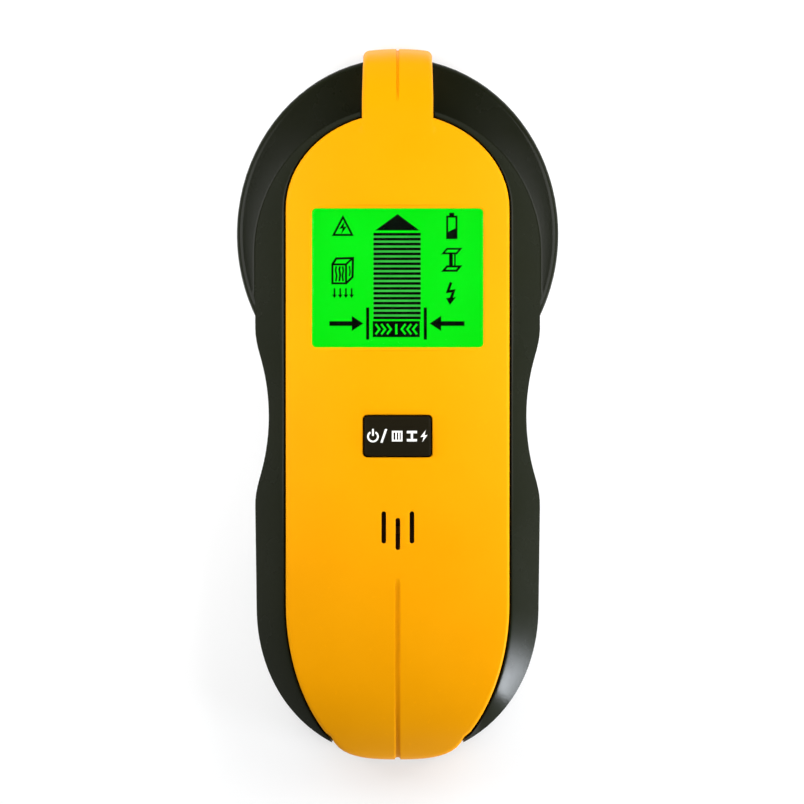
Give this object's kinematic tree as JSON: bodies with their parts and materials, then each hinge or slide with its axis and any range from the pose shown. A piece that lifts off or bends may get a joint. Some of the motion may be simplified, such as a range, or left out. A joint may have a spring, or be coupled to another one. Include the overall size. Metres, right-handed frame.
{
  "type": "stud finder",
  "caption": "Hand-held stud finder with a round sensing head, waisted grip, crowned cover with backlit display, push key, marking nose and sliding battery door.",
  "frame": {"origin": "on the sensing face's plane, under the middle of the overall plan", "axes": "+Z from the sensing face towards the display, +Y towards the marking nose, +X to the right of someone reading the display"},
  "size_m": [0.0734, 0.1621, 0.0299],
  "materials": {
    "yellow_shell": "satin moulded yellow plastic",
    "black_shell": "satin moulded black plastic",
    "key": "smooth matt black plastic with printed white symbols",
    "clear_lens": "clear polished acrylic",
    "lcd_panel": "backlit green display with black segments",
    "light_guide": "frosted acrylic",
    "white_plastic": "moulded white plastic",
    "chip_plastic": "moulded black resin",
    "brass": "rolled brass",
    "circuit_board": "green solder mask on glass laminate",
    "bright_can": "drawn can",
    "copper": "bare copper",
    "battery_jacket": "printed steel jacket, plain",
    "steel": "zinc plated",
    "grey_rubber": "soft moulded rubber",
    "red_sleeve": "red wire sleeve",
    "black_sleeve": "black wire sleeve"
  },
  "bodies": {
    "housing": {"front_cover": "yellow_shell", "front_housing": "black_shell", "rear_cover": "black_shell", "display_lens": "clear_lens", "lcd_glass": "lcd_panel", "lcd_bezel": "white_plastic", "light_guide": "light_guide", "switch_body": "chip_plastic", "buzzer_case": "chip_plastic", "buzzer_disc": "brass", "main_board": "circuit_board", "microcontroller": "chip_plastic", "signal_amplifier": "chip_plastic", "voltage_regulator": "chip_plastic", "crystal": "bright_can", "capacitor_1": "bright_can", "capacitor_2": "bright_can", "sensor_board": "circuit_board", "sensor_plate_left": "copper", "sensor_plate_centre": "copper", "sensor_plate_right": "copper", "coil_bobbin": "white_plastic", "search_coil": "copper", "ribbon_cable": "white_plastic", "battery": "battery_jacket", "battery_terminal_plus": "steel", "battery_terminal_minus": "steel", "snap_connector": "grey_rubber", "lead_red": "red_sleeve", "lead_black": "black_sleeve", "zebra_strip_lower": "grey_rubber", "zebra_strip_upper": "grey_rubber", "backlight_led_left": "white_plastic", "backlight_led_right": "white_plastic", "housing_screw_1": "steel", "board_screw_1": "steel", "housing_screw_2": "steel", "board_screw_2": "steel", "housing_screw_3": "steel", "board_screw_3": "steel", "housing_screw_4": "steel", "board_screw_4": "steel", "sensor_screw_1": "steel", "sensor_screw_2": "steel"},
    "key": {"button_cap": "key"},
    "plunger": {"switch_plunger": "white_plastic"},
    "door": {"battery_door": "black_shell"}
  },
  "joints": [
    {"name": "key_press", "type": "slide", "parent": "housing", "child": "key", "axis": [0, 0, -1], "range_m": [0, 0.0006], "stiffness_N_per_m": 600, "springref_m": -0.0005},
    {"name": "switch_travel", "type": "slide", "parent": "housing", "child": "plunger", "axis": [0, 0, -1], "range_m": [0, 0.0006]},
    {"name": "door_slide", "type": "slide", "parent": "housing", "child": "door", "axis": [0, -1, 0], "range_m": [0, 0.04]}
  ],
  "couplings": [
    {"joint": "switch_travel", "follows": "key_press", "ratio": 1}
  ]
}
